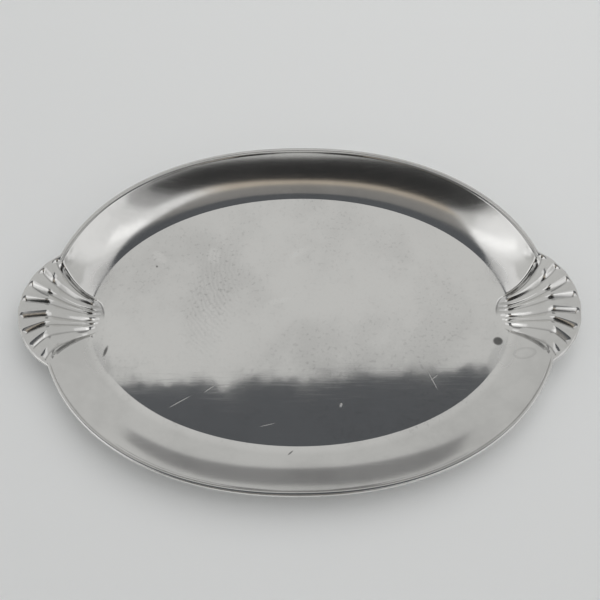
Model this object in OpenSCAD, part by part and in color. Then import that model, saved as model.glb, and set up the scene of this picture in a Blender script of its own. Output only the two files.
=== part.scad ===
// Oval serving tray with a scallop shell handle at each end, cast in one piece.
// The origin is the middle of the flat base, +X runs along the tray towards one handle, +Z is up.

/* [Oval] */
// Length over both handles
overall_len = 460; // [450:1:474]
// Length of the oval without its handles
oval_len = 418; // [412:1:424]
// Width of the oval over its lip
oval_w = 299; // [285:1:315]
// Shape of the lip's outline, where 2 is an ellipse and more is squarer
squareness = 2.16; // [2.05:0.01:2.3]
// Length of the flat floor
floor_len = 354; // [348:1:358]
// Width of the flat floor
floor_w = 219; // [210:1:236]

/* [Section] */
// Height from the base to the crown of the lip
tray_h = 25.5; // [20:0.5:30]
// Thickness of the metal
metal_t = 3.5; // [3:0.1:4.5]
// Width of the lip
lip_w = 4.2; // [3.5:0.1:6]
// How far the lip's inner edge lies below its crown
lip_drop = 1.2; // [0.6:0.1:2]
// Share of the wall's rise that is straight, the rest being a hollow curve
wall_straight = 0.45; // [0.3:0.05:0.8]

/* [Shell handles] */
// Radius of the shell's outer edge
shell_r = 54; // [50:0.5:58]
// Angle from one groove to the next, seen from the centre of the outer edge
groove_pitch = 16.6; // [15.8:0.1:17]
// Width of a groove near the edge
groove_w = 10; // [6:0.5:12]
// Depth of the grooves at their widest part
groove_depth = 1.8; // [0.6:0.1:2]
// Distance from the middle of the tray to the tip of the shell's nose
nose_x = 165; // [161:0.5:169]
// Half the width of the nose where it leaves the floor
nose_half_w = 15; // [12:0.5:18]
// Depth of the hollow that the ribs run together in
nose_dip = 1.1; // [0.4:0.1:1.4]
// How far the ribs' control points lie off their chords, towards the tray's long middle line
rib_bow = 13; // [0:0.5:14]

/* [Mesh] */
// Steps round half a shell
shell_steps = 34; // [24:1:36]
// Steps from a shell to the middle of a long side
side_steps = 15; // [10:1:18]
// Steps from the floor to the lip
wall_rows = 13; // [9:1:14]

/* [Hidden] */

oval_a = oval_len / 2;
oval_b = oval_w / 2;
crease_a = oval_a - lip_w;
crease_b = oval_b - lip_w;
floor_a = floor_len / 2;
floor_b = floor_w / 2;
crease_z = tray_h - lip_drop;
shell_x = overall_len / 2 - shell_r;
nose_end = asin(nose_half_w / floor_b);
under_rows = 6;
belly = 0.2;           // how much thicker the metal is halfway up the wall
lip_step = 1 / 3;      // share of the lip's width that its step takes
nose_run = 0.13;       // where along a rib the hollow reaches its depth
nose_fullness = 6;     // how evenly deep the hollow is from side to side
brow = [0.2, 0.7];     // where along a rib the hollow runs out
pitch_in = 3.9;        // distance from one groove to the next at the nose
pitch_out = groove_pitch * PI / 180 * shell_r;
groove_start = [0.03, 0.15]; // where along a rib its groove deepens
groove_end = 4.4;      // where a groove's end begins to close, from the outer edge
end_bluntness = 1.7;   // how blunt that end is
groove_shoulder = 1.6; // how softly a groove's sides turn into the ribs
shell_rise = [0.3, 1]; // where along a rib the shell rises by the lip's height
lip_fall = 0.75;       // where across the lip its outer edge begins to round off
lip_tuck = [0.8, 0.9]; // underside of the lip, across it and as a share of the metal's thickness
bow_fade = 6;           // how fast the bow dies away along the oval
bow_start = [0.05, 0.6]; // how the bow grows from the middle rib to the outermost one

function smooth(lo, hi, v) = let(t = min(1, max(0, (v - lo) / (hi - lo)))) t * t * (3 - 2 * t);
function power(v, n) = v <= 0 ? 0 : pow(v, n);
function bezier(p, c, q, s) = (1 - s) * (1 - s) * p + 2 * s * (1 - s) * c + s * s * q;

// How far out a point lies, 1 being on the oval with half axes a and b
function oval_reach(p, a, b, n) =
    pow(power(abs(p.x) / a, n) + power(abs(p.y) / b, n), 1 / n);

// The point where the ray at an angle meets the outer oval
function oval_point(angle) =
    let(ray = [cos(angle), sin(angle)])
    ray / oval_reach(ray, oval_a, oval_b, squareness);

function shell_edge(angle) = [shell_x + shell_r * cos(angle), shell_r * sin(angle)];

// The angle at which the shell's edge meets the oval, found by halving
function corner_angle(lo = 0, hi = 90, turns = 30) =
    let(mid = (lo + hi) / 2)
    turns == 0 ? mid :
    oval_reach(shell_edge(mid), oval_a, oval_b, squareness) > 1
        ? corner_angle(mid, hi, turns - 1)
        : corner_angle(lo, mid, turns - 1);

corner = corner_angle();
corner_ray = atan2(shell_edge(corner).y, shell_edge(corner).x);

// The control point of a line that bows towards the tray's long middle line
function bowed(start, end, amount) =
    let(along = (end - start) / norm(end - start))
    (start + end) / 2 + rib_bow * amount * [along.y, -along.x];

// A column is [start on the floor, control point, end on the outline, shell angle or 0, on shell]
function shell_column(u) =
    let(
        nose_depth = floor_a * cos(nose_end) - nose_x,
        start = [nose_x + nose_depth * (1 - cos(90 * u)), nose_half_w * sin(90 * u)],
        end = shell_edge(corner * u)
    )
    [start, bowed(start, end, smooth(bow_start[0], bow_start[1], u)), end, u, 1];

function side_column(w) =
    let(
        floor_angle = nose_end + (90 - nose_end) * w,
        start = [floor_a * cos(floor_angle), floor_b * sin(floor_angle)],
        end = oval_point(corner_ray + (90 - corner_ray) * w)
    )
    [start, bowed(start, end, pow(1 - w, bow_fade)), end, 1, 0];

quarter = concat(
    [for (i = [0 : shell_steps]) shell_column(i / shell_steps)],
    [for (i = [1 : side_steps]) side_column(i / side_steps)]
);
last = len(quarter) - 1;

function flip(p, sx, sy) = [p.x * sx, p.y * sy];
function flip_column(c, sx, sy) =
    [flip(c[0], sx, sy), flip(c[1], sx, sy), flip(c[2], sx, sy), c[3], c[4]];

// Once round the tray, anticlockwise from the tip of the +X shell
columns = concat(
    [for (i = [0 : last]) quarter[i]],
    [for (i = [last - 1 : -1 : 0]) flip_column(quarter[i], -1, 1)],
    [for (i = [1 : last]) flip_column(quarter[i], -1, -1)],
    [for (i = [last - 1 : -1 : 1]) flip_column(quarter[i], 1, -1)]
);
count = len(columns);

function lip_start(c) = 1 - lip_w / norm(c[2] - c[0]);
function column_point(c, s) = bezier(c[0], c[1], c[2], s);

// Height of the plain wall, from the floor to the lip's inner edge
function wall_z(p) =
    let(
        a = oval_reach(p, floor_a, floor_b, 2),
        b = oval_reach(p, crease_a, crease_b, squareness),
        t = a <= 1 ? 0 : b >= 1 ? 1 : b * (a - 1) / (a - b)
    )
    metal_t + (crease_z - metal_t) * (wall_straight * t + (1 - wall_straight) * t * t);

// The shell is hollowed out where its ribs meet at the nose
function hollow(u, s) =
    nose_dip * (1 - pow(u, nose_fullness)) * (1 - pow(1 - min(1, s / nose_run), 2))
    * (1 - smooth(brow[0], brow[1], s));

// A groove has straight sides, fills its pitch near the nose and closes just before the edge
function groove(c, s) =
    let(
        pitches = c[3] * corner / groove_pitch,
        pitch = pitch_in + (pitch_out - pitch_in) * s,
        half_w = min(groove_w, pitch) / 2,
        across = pitch * abs(pitches - floor(pitches) - 0.5),
        beyond = max(0, groove_end - (1 - s) * norm(c[2] - c[0])),
        off = min(1, norm([across, end_bluntness * beyond]) / half_w)
    )
    groove_depth * 2 * half_w / groove_w * power(1 - off, groove_shoulder)
    * smooth(groove_start[0], groove_start[1], s);

// The lip rises from its inner edge to its crown, over the whole rim and the shells
function lip_rise(c, s) = lip_drop * smooth(0, lip_step, (s - lip_start(c)) / (1 - lip_start(c)));

function top_z(c, s) =
    let(plain = wall_z(column_point(c, s)))
    c[4] == 0 ? plain + lip_rise(c, s)
    : plain + lip_drop * smooth(shell_rise[0], shell_rise[1], s) - hollow(c[3], s) - groove(c, s);

function under_z(c, s) = max(0, wall_z(column_point(c, s)) - metal_t * (1 + belly * sin(180 * s)));

function at(c, s, z) = let(p = column_point(c, s)) [p.x, p.y, z];

// One ring of points round the tray
function top_ring(f) = [for (c = columns) let(s = f * lip_start(c)) at(c, s, top_z(c, s))];
function lip_ring(f, sink) = [
    for (c = columns)
        let(s = lip_start(c) + (1 - lip_start(c)) * f)
        at(c, s, top_z(c, s) - sink)
];
function under_ring(f) = [for (c = columns) let(s = f * lip_start(c)) at(c, s, under_z(c, s))];

edge_drop = metal_t / 2;
rings = concat(
    [for (i = [0 : wall_rows]) top_ring(i / wall_rows)],
    [lip_ring(lip_step, 0), lip_ring(lip_fall, 0), lip_ring(1, edge_drop)],
    [lip_ring(lip_tuck[0], lip_tuck[1] * metal_t)],
    [for (i = [under_rows : -1 : 0]) under_ring(i / under_rows)]
);
ring_count = len(rings);
points = concat([for (r = rings) each r], [[0, 0, metal_t], [0, 0, 0]]);
top_pole = ring_count * count;
base_pole = top_pole + 1;

function spot(ring, i) = ring * count + i % count;

faces = concat(
    [for (i = [0 : count - 1]) [top_pole, spot(0, i + 1), spot(0, i)]],
    [for (r = [0 : ring_count - 2], i = [0 : count - 1]) each [
        [spot(r, i), spot(r, i + 1), spot(r + 1, i + 1)],
        [spot(r, i), spot(r + 1, i + 1), spot(r + 1, i)]
    ]],
    [for (i = [0 : count - 1]) [base_pole, spot(ring_count - 1, i), spot(ring_count - 1, i + 1)]]
);

module tray_casting() {
    color([0.78, 0.78, 0.76]) polyhedron(points, faces, convexity = 6);
}

tray_casting();
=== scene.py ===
# %% [markdown]
# # An oval serving tray in polished cast aluminium
#
# The tray is one casting: a flat floor, a hollow wall, a narrow lip and a fluted scallop shell at
# each end to hold it by. Nothing on it moves. This lesson loads the tray's engineering model as a
# fixed frame, draws a finer skin in the same place, gives it the finish of worn polished metal, and
# lights it as a photographer lights shiny things, with white and black cards.

# %% The frame, and the box that nothing may leave
from math import atan2, cos, exp, hypot, pi, radians, sin, tan

import bmesh
import bpy
from mathutils import Matrix, Vector


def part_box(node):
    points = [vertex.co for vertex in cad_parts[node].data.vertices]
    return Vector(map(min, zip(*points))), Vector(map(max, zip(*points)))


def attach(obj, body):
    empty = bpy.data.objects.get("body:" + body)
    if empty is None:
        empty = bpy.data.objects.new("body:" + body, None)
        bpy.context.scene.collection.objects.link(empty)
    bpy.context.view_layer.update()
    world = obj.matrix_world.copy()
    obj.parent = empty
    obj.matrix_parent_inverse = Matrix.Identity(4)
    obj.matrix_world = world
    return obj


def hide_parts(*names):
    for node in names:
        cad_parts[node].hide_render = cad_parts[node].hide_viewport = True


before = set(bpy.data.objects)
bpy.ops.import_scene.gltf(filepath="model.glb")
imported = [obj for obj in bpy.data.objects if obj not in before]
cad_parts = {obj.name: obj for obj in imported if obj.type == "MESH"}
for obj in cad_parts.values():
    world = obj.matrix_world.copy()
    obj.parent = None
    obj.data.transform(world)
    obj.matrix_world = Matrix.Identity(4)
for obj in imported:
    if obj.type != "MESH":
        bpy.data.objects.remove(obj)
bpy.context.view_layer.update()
low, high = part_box("tray_casting")
bpy.ops.object.select_all(action="DESELECT")
print("the casting measures", [round(h - l, 4) for l, h in zip(low, high)], "m")

# %% [markdown]
# ## The driving sizes
#
# The frame gives the length over the handles, the width and the height. The casting's own sizes
# are its design: how long the oval is between the shells, where the floor ends, how wide the lip
# is. Every other number in the shape is worked out from these.

# %% Sizes, in metres
HALF_LENGTH = high[0]
HALF_WIDTH = high[1]
CROWN = high[2]
METAL = 0.0035
LIP_WIDTH = 0.0042
LIP_DROP = 0.0012
OVAL_A = 0.209
SQUARENESS = 2.16
FLOOR_A, FLOOR_B = 0.177, 0.1095
WALL_STRAIGHT = 0.45
SHELL_R = 0.054
GROOVE_PITCH = radians(16.6)
NOSE_X = 0.165
NOSE_HALF_WIDTH = 0.015
RIB_BOW = 0.013
CREASE_Z = CROWN - LIP_DROP
CREASE_A = OVAL_A - LIP_WIDTH
CREASE_B = HALF_WIDTH - LIP_WIDTH
SHELL_X = HALF_LENGTH - SHELL_R
print("shell centres lie", round(SHELL_X, 4), "m from the middle")

# %% [markdown]
# ## Where each line of the surface runs
#
# A casting pattern is carved along lines. Here a line starts where the floor ends and runs out over
# the wall to the outline. On the plain wall it is straight. On a shell it follows a rib: the lines
# leave the nose nearly side by side and then flare, so each is a curve with one control point.
#
# One thing here is not right yet. Beside each crease the outermost lines bow so strongly that some
# of them cross, and the skin folds over itself in a thin sliver. A gentler bow near the crease, or
# starts that lie further apart, would be the cure.

# %% Helpers that describe the plan
def smooth(lo, hi, value):
    """0 at lo, 1 at hi, and an even S between."""
    t = min(1.0, max(0.0, (value - lo) / (hi - lo)))
    return t * t * (3 - 2 * t)


def reach(x, y, a, b, power):
    """How far out a point lies, 1 being on the oval with half axes a and b."""
    return ((abs(x) / a) ** power + (abs(y) / b) ** power) ** (1 / power)


def oval_point(angle):
    ray = Vector((cos(angle), sin(angle)))
    return ray / reach(ray.x, ray.y, OVAL_A, HALF_WIDTH, SQUARENESS)


def shell_edge(angle):
    return Vector((SHELL_X + SHELL_R * cos(angle), SHELL_R * sin(angle)))


def find_corner():
    """The angle at which a shell's edge meets the oval, found by halving."""
    lo, hi = 0.0, pi / 2
    for _ in range(40):
        mid = (lo + hi) / 2
        edge = shell_edge(mid)
        if reach(edge.x, edge.y, OVAL_A, HALF_WIDTH, SQUARENESS) > 1:
            lo = mid
        else:
            hi = mid
    return lo


CORNER = find_corner()
CORNER_RAY = atan2(shell_edge(CORNER).y, shell_edge(CORNER).x)
print("the shell meets the oval", round(CORNER * 180 / pi, 1), "degrees round its edge")

# %% Lines on a shell and on the plain wall
BOW_START, BOW_FULL = 0.05, 0.6
BOW_FADE = 6
MIDDLE_SHARE = 0.8
MIDDLE_FAN = radians(25)
EDGE_WAVE = 0.0004


class Line:
    """One line of the surface: its start on the floor, its control point, its end on the outline."""

    def __init__(self, start, end, bow, middle_turn, across, on_shell):
        self.start, self.end = start, end
        self.control = (start + end) / 2 + bow
        self.middle = MIDDLE_SHARE * Vector((FLOOR_A * cos(middle_turn), FLOOR_B * sin(middle_turn)))
        self.across, self.on_shell = across, on_shell
        self.lip_from = 1 - LIP_WIDTH / (end - start).length

    def at(self, s):
        a, b, c = (1 - s) ** 2, 2 * s * (1 - s), s * s
        return a * self.start + b * self.control + c * self.end

    def flipped(self, sx, sy):
        copy = Line.__new__(Line)
        for name in ("start", "end", "control", "middle"):
            p = getattr(self, name)
            setattr(copy, name, Vector((p.x * sx, p.y * sy)))
        copy.across, copy.on_shell, copy.lip_from = self.across, self.on_shell, self.lip_from
        return copy


def bowed(start, end, amount):
    """A sideways shift for a line's control point, towards the tray's long middle line."""
    along = (end - start).normalized()
    return RIB_BOW * amount * Vector((along.y, -along.x))


def shell_line(u):
    nose_end = NOSE_HALF_WIDTH / FLOOR_B
    depth = FLOOR_A * (1 - nose_end * nose_end) ** 0.5 - NOSE_X
    start = Vector((NOSE_X + depth * (1 - (1 - u * u) ** 0.5), NOSE_HALF_WIDTH * u))
    in_groove = 0.5 - 0.5 * cos(2 * pi * u * CORNER / GROOVE_PITCH)
    outwards = Vector((cos(CORNER * u), sin(CORNER * u)))
    end = shell_edge(CORNER * u) - EDGE_WAVE * in_groove * (1 - u ** 8) * outwards
    return Line(start, end, bowed(start, end, smooth(BOW_START, BOW_FULL, u)), u * MIDDLE_FAN, u, True)


def side_line(w):
    nose_turn = atan2(NOSE_HALF_WIDTH, (FLOOR_B ** 2 - NOSE_HALF_WIDTH ** 2) ** 0.5)
    turn = nose_turn + (pi / 2 - nose_turn) * w
    start = Vector((FLOOR_A * cos(turn), FLOOR_B * sin(turn)))
    end = oval_point(CORNER_RAY + (pi / 2 - CORNER_RAY) * w)
    middle_turn = MIDDLE_FAN + (pi / 2 - MIDDLE_FAN) * w
    return Line(start, end, bowed(start, end, (1 - w) ** BOW_FADE), middle_turn, 1.0, False)


SHELL_LINES = 150
SIDE_LINES = 56
quarter = [shell_line(i / SHELL_LINES) for i in range(SHELL_LINES + 1)]
quarter += [side_line(i / SIDE_LINES) for i in range(1, SIDE_LINES + 1)]
lines = list(quarter)
lines += [line.flipped(-1, 1) for line in quarter[-2::-1]]
lines += [line.flipped(-1, -1) for line in quarter[1:]]
lines += [line.flipped(1, -1) for line in quarter[-2:0:-1]]
print(len(lines), "lines run from the floor to the outline")

# %% [markdown]
# ## How high the surface is
#
# The wall starts at a shallow angle and steepens, which is what bends a reflection round the tray.
# A shell lies on that wall. It is scooped out at its nose, where the ribs run together, and that
# leaves a small crescent edge on the floor. The grooves have straight sides with soft shoulders.
# They fill the space between the ribs near the nose, keep one width further out, and close just
# before the edge. The brow, where a shell turns level at the top, is eased, because a kink there
# would show in every rib.

# %% The heights
SHELL_RISE = 0.3
BELLY = 0.2
HOLLOW_DEPTH = 0.0011
HOLLOW_RUN = 0.13
HOLLOW_END_FROM, HOLLOW_END_TO = 0.2, 0.7
HOLLOW_FULLNESS = 6
FOOT_EASING = 0.02
BROW_EASING = 0.2
GROOVE_DEPTH = 0.0018
GROOVE_HALF_WIDTH = 0.0050
GROOVE_END = 0.0044
GROOVE_BLUNTNESS = 1.7
GROOVE_SHOULDER = 1.35
GROOVE_FROM, GROOVE_FULL = 0.02, 0.24
PITCH_AT_NOSE = 0.0039
PITCH_AT_EDGE = GROOVE_PITCH * SHELL_R
LIP_STEP = 0.24
POCKET_DEPTH = 0.0011
POCKET_R = 0.0055
POCKET = shell_edge(CORNER) - Vector((0.0040, 0.0042))


def up_the_wall(p):
    """0 where the floor ends, 1 at the lip's inner edge, and on past 1 outside it."""
    a = reach(p.x, p.y, FLOOR_A, FLOOR_B, 2)
    b = reach(p.x, p.y, CREASE_A, CREASE_B, SQUARENESS)
    return 0.0 if a <= 1 else min(2.0, b * (a - 1) / max(a - b, 1e-6))


def wall_z(p, easing=0.0):
    """Height of the wall, level from the lip's inner edge on. Easing rounds that turn."""
    t = up_the_wall(p)
    t = (hypot(t, FOOT_EASING) - FOOT_EASING) / (hypot(1, FOOT_EASING) - FOOT_EASING)
    rise = WALL_STRAIGHT * t + (1 - WALL_STRAIGHT) * t * t
    if easing > 0:
        share = min(1.0, max(0.0, 0.5 + 0.5 * (1 - rise) / easing))
        rise = 1 + (rise - 1) * share - easing * share * (1 - share)
    return METAL + (CREASE_Z - METAL) * min(1.0, rise)


def hollow(u, s):
    """The shell is scooped out at its nose, with a clear edge on the floor."""
    scoop = 1 - (1 - min(1.0, s / HOLLOW_RUN)) ** 2
    runs_out = 1 - smooth(HOLLOW_END_FROM, HOLLOW_END_TO, s)
    return HOLLOW_DEPTH * (1 - u ** HOLLOW_FULLNESS) * scoop * runs_out


def groove(line, s):
    """Depth of the grooves, and the painted shade in them. A groove has straight sides and a soft shoulder.
    """
    to_edge = (1 - s) * (line.end - line.start).length
    pitches = line.across * CORNER / GROOVE_PITCH
    pitch = PITCH_AT_NOSE + (PITCH_AT_EDGE - PITCH_AT_NOSE) * s
    half_width = min(GROOVE_HALF_WIDTH, 0.5 * pitch)
    across = pitch * abs(pitches - int(pitches) - 0.5)
    off = min(1.0, hypot(across, GROOVE_BLUNTNESS * max(0.0, GROOVE_END - to_edge)) / half_width)
    fade = smooth(GROOVE_FROM, GROOVE_FULL, s)
    depth = GROOVE_DEPTH * half_width / GROOVE_HALF_WIDTH * (1 - off) ** GROOVE_SHOULDER
    # The second value is painted shade, darkest along the middle of each groove.
    return depth * fade, GROOVE_PAINTED_SHADE * max(0.0, 1 - off / GROOVE_SHADE_WIDTH) * fade


def pocket(p):
    """The dimple where the lip runs into the shell, from 0 to 1."""
    away = hypot(abs(p.x) - POCKET.x, abs(p.y) - POCKET.y)
    return 1 - smooth(0.0005, POCKET_R, away)


# %% Painted shade in the grooves, along the lip's crease, at the noses and in the pockets
GROOVE_PAINTED_SHADE, GROOVE_SHADE_WIDTH = 0.5, 0.25
POCKET_PAINTED_SHADE = 0.3
NOSE_PAINTED_SHADE = 0.55
CREASE_PAINTED_SHADE, CREASE_SHADE_WIDTH = 0.6, 0.16


def nose_painted_shade(s):
    """Painted shade: a dark line along the nose's edge and a paler shaded patch behind it."""
    past_edge = smooth(0.0, 0.01, s)
    return max(past_edge * (1 - smooth(0.02, 0.05, s)), NOSE_PAINTED_SHADE * past_edge * (1 - smooth(0.08, 0.32, s)))


# %% The two surfaces
def top_surface(line, s):
    """Height of the upper surface and the share of painted shade on it."""
    here = line.at(s)
    dimple = pocket(here)
    if line.on_shell:
        full = (1 - line.across ** 14) ** 0.5
        plain = wall_z(here, BROW_EASING * full) + LIP_DROP * smooth(SHELL_RISE, 1, s)
        depth, painted_shade = groove(line, s)
        z = plain - hollow(line.across, s) - depth - POCKET_DEPTH * dimple
        # Painted shade at the nose and at the pocket falls only on the far half of each shell.
        far_side = smooth(-0.003, 0.005, here.y)
        return min(z, CROWN), max(painted_shade, nose_painted_shade(s) * far_side, POCKET_PAINTED_SHADE * dimple * far_side)
    over_lip = (s - line.lip_from) / (1 - line.lip_from)
    # in_crease is painted shade along the crease at the lip's inner edge.
    in_crease = max(0.0, 1 - abs(over_lip) / CREASE_SHADE_WIDTH)
    z = wall_z(here) + LIP_DROP * smooth(0, LIP_STEP, over_lip) - POCKET_DEPTH * dimple
    # Here too the pocket's painted shade falls only on the far half.
    return z, max(CREASE_PAINTED_SHADE * in_crease, POCKET_PAINTED_SHADE * dimple * smooth(0, 0.01, here.y))


def under_z(line, s):
    return max(0.0, wall_z(line.at(s)) - METAL * (1 + BELLY * sin(pi * s)))


print("groove depth", GROOVE_DEPTH * 1000, "mm, nose hollow", HOLLOW_DEPTH * 1000, "mm")

# %% [markdown]
# ## Drawing the casting out ring by ring
#
# A grid would put square steps across the oval, and a solidify modifier would make the lip's edge
# a flat strip. So the skin is drawn out of one circle, as metal is spun: the circle is filled for
# the flat floor, and each extrusion carries its rim out over the wall, round the lip and back under.
# Every point keeps the number of its line, so it knows its place in each new ring.

# %% The rings, from the middle of the floor round to the middle of the base
FOOT_STEPS = (0.006, 0.003, 0.0012)
WALL_RINGS = 66
CROWD_AT_FOOT = 1.15
LIP_RINGS = (0.06, 0.12, 0.18, 0.24, 0.36, 0.5)
EDGE_STEPS = 10
EDGE_SHARE = 0.42
EDGE_DEPTH = 0.45 * METAL
UNDER_RINGS = 12


def top_ring(share):
    """A ring at one share of the way from the floor to the lip's inner edge."""
    return [(line.at(share * line.lip_from), *top_surface(line, share * line.lip_from)) for line in lines]


def under_ring(share):
    return [(line.at(share * line.lip_from), under_z(line, share * line.lip_from), 0.0) for line in lines]


def floor_ring(inset, z):
    """A ring on the flat, inset from where the floor ends."""
    return [(line.start + inset * (line.middle - line.start).normalized(), z, 0.0) for line in lines]


def middle_ring(z):
    """A plain oval well inside the noses, because a flat face fills cleanly only if it is convex."""
    return [(line.middle, z, 0.0) for line in lines]


def edge_ring(out, sink):
    """A ring on the rounded edge, out being 1 at the outline and sink the depth below the crown."""
    points = []
    for line in lines:
        s = line.lip_from + (1 - line.lip_from) * out
        z, painted_shade = top_surface(line, s)
        points.append((line.at(s), z - sink, painted_shade))
    return points


def all_rings():
    rings = [middle_ring(METAL)]
    rings += [floor_ring(inset, METAL) for inset in FOOT_STEPS]
    rings += [top_ring((i / WALL_RINGS) ** CROWD_AT_FOOT) for i in range(WALL_RINGS + 1)]
    rings += [edge_ring(out, 0.0) for out in LIP_RINGS]
    for step in range(EDGE_STEPS + 1):
        turn = pi * step / EDGE_STEPS
        rings.append(edge_ring(1 - EDGE_SHARE * (1 - sin(turn)), EDGE_DEPTH * (1 - cos(turn))))
    rings += [under_ring(i / UNDER_RINGS) for i in range(UNDER_RINGS, -1, -1)]
    rings += [floor_ring(inset, 0.0) for inset in reversed(FOOT_STEPS)]
    rings.append(middle_ring(0.0))
    return rings


# %% Extruding the skin
def place_ring(mesh, places):
    """Moves the selected ring of an edited mesh to its places, by each point's line number."""
    work = bmesh.from_edit_mesh(mesh)
    number = work.verts.layers.int["line"]
    painted_shade = work.verts.layers.float["painted_shade"]
    for vert in work.verts:
        if vert.select:
            point, z, shade_share = places[vert[number]]
            vert.co = (point.x, point.y, z)
            # Each point also gets its share of painted shade.
            vert[painted_shade] = shade_share
    bmesh.update_edit_mesh(mesh)


def draw_tray():
    bpy.ops.mesh.primitive_circle_add(vertices=len(lines), radius=FLOOR_B, location=(0, 0, 0))
    tray = bpy.context.active_object
    tray.name = "tray_skin"
    tray.data.name = "tray_skin"
    number = tray.data.attributes.new("line", "INT", "POINT")
    number.data.foreach_set("value", list(range(len(lines))))
    # This attribute carries the painted shade of the grooves, the lip's crease, the noses and the pockets.
    tray.data.attributes.new("painted_shade", "FLOAT", "POINT")
    rings = all_rings()
    bpy.ops.object.mode_set(mode="EDIT")
    bpy.ops.mesh.select_mode(type="VERT")
    bpy.ops.mesh.select_all(action="SELECT")
    place_ring(tray.data, rings[0])
    bpy.ops.mesh.edge_face_add()
    for places in rings[1:]:
        bpy.ops.mesh.extrude_edges_move()
        place_ring(tray.data, places)
    bpy.ops.mesh.edge_face_add()
    bpy.ops.mesh.select_all(action="SELECT")
    bpy.ops.mesh.normals_make_consistent(inside=False)
    bpy.ops.mesh.select_all(action="DESELECT")
    bpy.ops.object.mode_set(mode="OBJECT")
    bpy.ops.object.shade_smooth()
    return tray


tray = draw_tray()
print("tray_skin has", len(tray.data.polygons), "faces")

# %% [markdown]
# ## The finish
#
# Polished aluminium is a plain metal shader with a light base colour. What makes it look used is
# roughness: a haze of washing and wiping on the floor, fine arcs from the polishing wheel, and a
# few scratches. Stains and small pits darken the colour as well, and so does painted shade in the
# grooves, along the lip's crease, at the noses and in the pockets; the floor's colour is painted a
# little lighter. The painted shade was written into the skin as an attribute while it was drawn,
# because it follows the ribs, the noses and the lip.

# %% A small class that lets shader maths be written as sums
class Socket:
    """One output of a node. Sums on it add Math nodes."""

    def __init__(self, tree, output):
        self.tree, self.output = tree, output

    def _math(self, operation, first, second):
        node = self.tree.nodes.new("ShaderNodeMath")
        node.operation = operation
        for place, value in zip(node.inputs, (first, second)):
            if isinstance(value, Socket):
                self.tree.links.new(value.output, place)
            else:
                place.default_value = value
        return Socket(self.tree, node.outputs[0])

    def __add__(self, other):
        return self._math("ADD", self, other)

    def __radd__(self, other):
        return self._math("ADD", other, self)

    def __sub__(self, other):
        return self._math("SUBTRACT", self, other)

    def __rsub__(self, other):
        return self._math("SUBTRACT", other, self)

    def __mul__(self, other):
        return self._math("MULTIPLY", self, other)

    def __rmul__(self, other):
        return self._math("MULTIPLY", other, self)


class Finish:
    """A material being made. node() adds any node: its settings first, then its sockets."""

    def __init__(self, name):
        self.material = bpy.data.materials.new(name)
        self.material.use_nodes = True
        self.tree = self.material.node_tree
        self.shader = self.tree.nodes["Principled BSDF"]

    def node(self, kind, output=0, settings=None, **sockets):
        node = self.tree.nodes.new(kind)
        for name, value in (settings or {}).items():
            setattr(node, name, value)
        for name, value in sockets.items():
            place = node.inputs[name.replace("_", " ")]
            if isinstance(value, Socket):
                self.tree.links.new(value.output, place)
            else:
                place.default_value = value
        return Socket(self.tree, node.outputs[output])

    def fade(self, value, lo, hi):
        """1 below lo, 0 above hi, and an even S between."""
        return self.node(
            "ShaderNodeMapRange",
            settings={"interpolation_type": "SMOOTHSTEP"},
            Value=value,
            From_Min=lo,
            From_Max=hi,
            To_Min=1.0,
            To_Max=0.0,
        )

    def feed(self, name, value):
        place = self.shader.inputs[name]
        if isinstance(value, Socket):
            self.tree.links.new(value.output, place)
        else:
            place.default_value = value


# %% Worn polished aluminium
def mark(finish, place, x, y, half_long, half_wide, turn=0.0, soft=0.5):
    """1 inside a small oval mark on the tray and 0 outside it. Sizes are in millimetres."""
    turned = finish.node(
        "ShaderNodeMapping",
        settings={"vector_type": "TEXTURE"},
        Vector=place,
        Location=(x / 1000, y / 1000, 0),
        Rotation=(0, 0, radians(turn)),
        Scale=(half_long / 1000, half_wide / 1000, 1.0),
    )
    length = {"operation": "LENGTH"}
    away = finish.node("ShaderNodeVectorMath", output="Value", settings=length, Vector=turned)
    return finish.fade(away, 1.0 - soft, 1.0 + 0.2 * soft)


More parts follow.
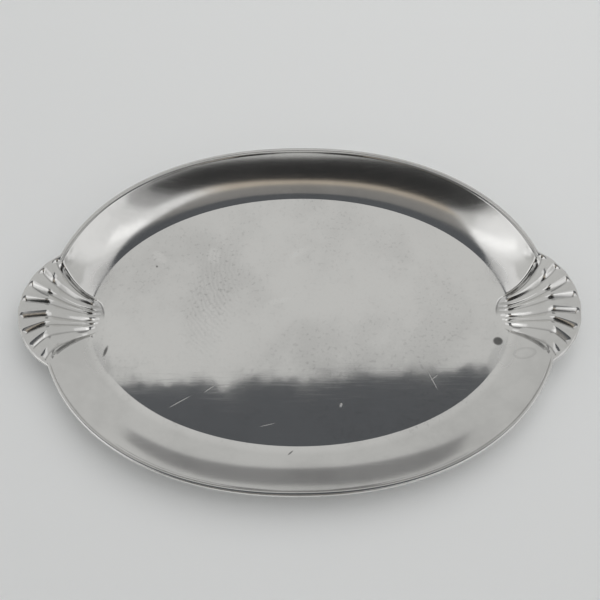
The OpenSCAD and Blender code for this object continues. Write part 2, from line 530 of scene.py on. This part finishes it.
def polished_aluminium():
    finish = Finish("polished_aluminium")
    place = finish.node("ShaderNodeTexCoord", output="Object")
    height = finish.node("ShaderNodeSeparateXYZ", output="Z", Vector=place)
    on_floor = finish.fade(height, METAL + 0.0003, METAL + 0.0025)
    # This attribute is painted shade: it darkens the colour and dulls the surface a little.
    painted_shade = finish.node("ShaderNodeAttribute", output="Fac", settings={"attribute_name": "painted_shade"})

    blotch = finish.node("ShaderNodeTexNoise", Vector=place, Scale=13.0, Detail=6.0, Roughness=0.62)
    haze = 1 - finish.fade(blotch, 0.42, 0.66)
    broad = finish.node("ShaderNodeTexNoise", Vector=place, Scale=5.0, Detail=3.0, Roughness=0.5)
    cloudy = 1 - finish.fade(broad, 0.4, 0.62)
    along = finish.node("ShaderNodeMapping", Vector=place, Scale=(26.0, 800.0, 1.0), Rotation=(0, 0, 0.06))
    wiped = finish.node("ShaderNodeTexNoise", Vector=along, Scale=1.0, Detail=3.0, Roughness=0.6)
    brushed = 1 - finish.fade(wiped, 0.5, 0.72)

    arcs_place = finish.node("ShaderNodeMapping", Vector=place, Location=(0.02, -0.045, 0))
    arcs = finish.node(
        "ShaderNodeTexWave",
        output="Fac",
        settings={"wave_type": "RINGS", "rings_direction": "Z"},
        Vector=arcs_place,
        Scale=80.0,
        Distortion=7.0,
        Detail=4.0,
        Detail_Scale=1.4,
    )
    arc_patch = mark(finish, place, -74, 20, 62, 26, turn=76, soft=0.9)

    pale_marks = mark(finish, place, -122, 54, 9, 5, turn=-36) + mark(finish, place, -75, 55, 7, 9)
    pale_marks = pale_marks + 0.7 * mark(finish, place, 0, 58, 12, 4.5, turn=30, soft=0.8)
    pale_marks = pale_marks + 0.5 * mark(finish, place, -19, 13, 13, 3, turn=10, soft=0.8)
    scratches = mark(finish, place, -99, -73, 11, 0.35, turn=29)
    scratches = scratches + mark(finish, place, -75, -62.5, 6, 0.3, turn=34)
    scratches = scratches + mark(finish, place, -28, -92.3, 7.5, 0.3, turn=12)
    scratches = scratches + mark(finish, place, 107.5, -58, 8.5, 0.35, turn=-65)
    scratches = scratches + mark(finish, place, 109, -55, 4.5, 0.35, turn=34)
    scratches = scratches + mark(finish, place, 31.5, -77, 2.2, 1.1, turn=70)
    dark_marks = mark(finish, place, 164.6, -24.5, 4.6, 4.0, soft=0.35)
    dark_marks = dark_marks + mark(finish, place, -162, -30, 5.6, 1.6, turn=73, soft=0.6)
    dark_marks = dark_marks + 0.8 * mark(finish, place, -9.6, -114.6, 3.2, 0.8, turn=40, soft=0.6)
    dark_marks = dark_marks + 0.8 * mark(finish, place, -123.8, 45.4, 1.1, 1.1)
    stain = mark(finish, place, 183, -37, 8.5, 5.5, soft=0.1)
    stain = stain - mark(finish, place, 183, -37, 7.4, 4.5, soft=0.4)

    folded = finish.node("ShaderNodeVectorMath", settings={"operation": "ABSOLUTE"}, Vector=place)
    speck_noise = finish.node("ShaderNodeTexNoise", Vector=place, Scale=330.0, Detail=3.0, Roughness=0.6)
    specks = (1 - finish.fade(speck_noise, 0.56, 0.66)) * (0.25 + arc_patch + haze) * on_floor
    dull = mark(finish, folded, 169, 36, 22, 12, turn=-62, soft=0.9)

    roughness = 0.135 - 0.083 * on_floor + 0.03 * (haze * on_floor) + 0.035 * brushed + 0.26 * dull
    roughness = roughness + 0.10 * (arcs * arc_patch) + 0.10 * pale_marks + 0.35 * scratches + 0.2 * painted_shade
    # on_floor lifts the floor's colour 9% over the walls', painted light that brightens its reflection.
    shade = 1.0 + 0.09 * on_floor - 0.6 * painted_shade - 0.10 * haze - 0.05 * cloudy - 0.78 * dark_marks
    shade = shade - 0.10 * stain - 0.06 * (arcs * arc_patch) + 0.10 * pale_marks - 0.10 * specks
    tone = finish.node("ShaderNodeCombineColor", Red=0.90 * shade, Green=0.895 * shade, Blue=0.877 * shade)
    finish.feed("Metallic", 1.0)
    finish.feed("Base Color", tone)
    finish.feed("Roughness", roughness)
    fine = finish.node("ShaderNodeTexNoise", Vector=place, Scale=900.0, Detail=2.0, Roughness=0.5)
    slow = finish.node("ShaderNodeTexNoise", Vector=place, Scale=34.0, Detail=2.0, Roughness=0.5)
    bump = finish.node(
        "ShaderNodeBump", Strength=0.14, Distance=0.0004, Height=slow + 0.03 * fine + 0.03 * wiped
    )
    finish.feed("Normal", bump)
    print("made", finish.material.name, "from", len(finish.tree.nodes), "nodes")
    return finish.material


tray.data.materials.append(polished_aluminium())
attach(tray, "root")
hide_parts("tray_casting")

# %% [markdown]
# ## The table, the light and the cards
#
# A mirror shows the room and not itself, so the room is what gets designed. The table and the world
# are pale and even. White cards stand left and right and whiten the walls at both ends. Two black
# flags hang overhead, where a camera and its operator would be, and draw the dark bands, and grey
# and beige cards fill the gaps between them. Cards that overlap hang at very different distances,
# because a large flat card bulges towards the tray and would hide a nearer small one.

# %% The table
bpy.ops.mesh.primitive_plane_add(size=40, location=(0, 0, -0.0002))
table = bpy.context.active_object
table.name = "table_top"
paper = Finish("pale_paper")
paper.feed("Base Color", (0.81, 0.82, 0.82, 1))
paper.feed("Roughness", 0.9)
table.data.materials.append(paper.material)

# %% The world
world = bpy.data.worlds.new("studio")
bpy.context.scene.world = world
world.use_nodes = True
world.node_tree.nodes["Background"].inputs["Color"].default_value = (1.0, 1.0, 0.985, 1)
world.node_tree.nodes["Background"].inputs["Strength"].default_value = 0.50

# %% Cards, each given by the directions of its corners
def card(name, distance, corners, level, tint=(1.0, 1.0, 1.0)):
    """A card in the sky. A corner is (across, along), in degrees from straight up."""
    bpy.ops.mesh.primitive_circle_add(vertices=len(corners), fill_type="NGON")
    flat = bpy.context.active_object
    flat.name = name
    for vert, (across, along) in zip(flat.data.vertices, corners):
        ray = Vector((tan(radians(across)), tan(radians(along)), 1)).normalized()
        vert.co = ray * distance
    paint = Finish(name)
    paint.feed("Base Color", (0, 0, 0, 1))
    paint.feed("Roughness", 1.0)
    paint.feed("Emission Color", (*tint, 1))
    paint.feed("Emission Strength", level)
    flat.data.materials.append(paint.material)
    flat.visible_camera = False
    return flat


def ragged_edge(start, end, steps):
    """The far edge of the overhead flag: a slightly sloping line with fine teeth and two notches."""
    edge = []
    for i in range(steps + 1):
        x = start + (end - start) * i / steps
        notches = 0.75 * exp(-((x + 5.9) ** 2)) + 0.7 * exp(-((x - 1.2) ** 2))
        edge.append((x, 13.0 + 0.035 * x + 0.16 * sin(1.3 * x) + 0.13 * sin(3.7 * x + 1) - notches))
    return edge


NEAR_SKY, MID_SKY, FAR_SKY, LAST_SKY = 12, 17, 26, 44
operator_shape = [(-20, -26), (4, -28), (18, -31), (33, -43), (20, -49), (-22, -50), (-50, -44), (-32, -31)]
overhead_near_edge = [(-19, 6), (-17, -13.5), (-6, -10.5), (0, -9.5), (6, -10.5), (17, -13.5), (19, 6)]
gap_shape = [(-20, -22.5), (9, -22.5), (16, -10), (0, -4), (-18, -10)]
right_shape = [(8, -15), (14, -9), (62, -14), (64, -36), (40, -46), (20, -34), (9, -28)]
left_shape = [(-18, -13), (-16, -8), (-62, -14), (-64, -36), (-54, -41), (-34, -31)]
far_near_edge = [(-40, 78), (-28, 68), (-5, 65.5), (12, 67), (30, 65), (45, 74)]
far_shape = far_near_edge + [(36, 83), (0, 85), (-30, 84)]
card("flag_operator", NEAR_SKY, operator_shape, 0.018)
card("flag_overhead", NEAR_SKY, overhead_near_edge + ragged_edge(18, -18, 108), 0.082, (0.94, 0.99, 1.07))
card("grey_gap", MID_SKY, gap_shape, 0.2, (1.03, 1.0, 0.96))
card("beige_gap", MID_SKY, [(-21, -30), (12, -31), (8, -22), (-20, -22)], 0.40, (1.12, 0.98, 0.80))
card("streak_left", MID_SKY, [(-19, -12.5), (-52, -18), (-54, -25), (-22, -19)], 1.08)
card("streak_right", MID_SKY, [(15, -12.5), (33, -17.5), (33, -25), (18, -20)], 1.08)
card("grey_right", MID_SKY, [(10, -28), (20, -26), (36, -37), (42, -46), (24, -47)], 0.34)
card("white_left", FAR_SKY, left_shape, 0.78)
card("white_right", FAR_SKY, right_shape, 0.76)
card("side_left", LAST_SKY, [(-19, -7), (-19, 14), (-44, 14), (-46, -9)], 0.68)
card("side_right", LAST_SKY, [(19, -7), (19, 14), (44, 14), (46, -9)], 0.68)
card("grey_far", LAST_SKY, far_shape, 0.21)

# %% Soft light for the table, which the metal doesn't mirror
bpy.ops.object.light_add(type="AREA", location=(0.5, 0.9, 2.0))
soft_light = bpy.context.active_object
soft_light.data.shape = "DISK"
soft_light.data.size = 2.6
soft_light.data.energy = 22
soft_light.rotation_euler = (-soft_light.location).to_track_quat("-Z", "Y").to_euler()
soft_light.visible_glossy = False
bpy.context.scene.view_settings.view_transform = "Standard"

# %% [markdown]
# ## The camera
#
# The camera looks down steeply from the long side, close enough for the far rim to look a little
# smaller than the near one. Its place is an angle, a distance and a point to look at.

# %% Camera
def look_down(elevation, turn, roll, distance, aim, lens):
    back = Vector((sin(turn) * cos(elevation), -cos(turn) * cos(elevation), sin(elevation)))
    flat_right = Vector((cos(turn), sin(turn), 0))
    flat_up = back.cross(flat_right)
    right = cos(roll) * flat_right + sin(roll) * flat_up
    up = -sin(roll) * flat_right + cos(roll) * flat_up
    bpy.ops.object.camera_add(location=aim + distance * back)
    camera = bpy.context.active_object
    turned = Matrix((right, up, back)).transposed().to_4x4()
    camera.matrix_world = Matrix.Translation(aim + distance * back) @ turned
    camera.data.lens = lens
    camera.data.sensor_width = 36.0
    bpy.context.scene.camera = camera
    return camera


camera = look_down(
    elevation=radians(70.36),
    turn=radians(-2.255),
    roll=radians(1.617),
    distance=0.5865,
    aim=Vector((-0.0005, 0.0135, 0.0035)),
    lens=41.32,
)
print("camera stands at", [round(v, 3) for v in camera.location])

# %% The end
bpy.context.view_layer.update()
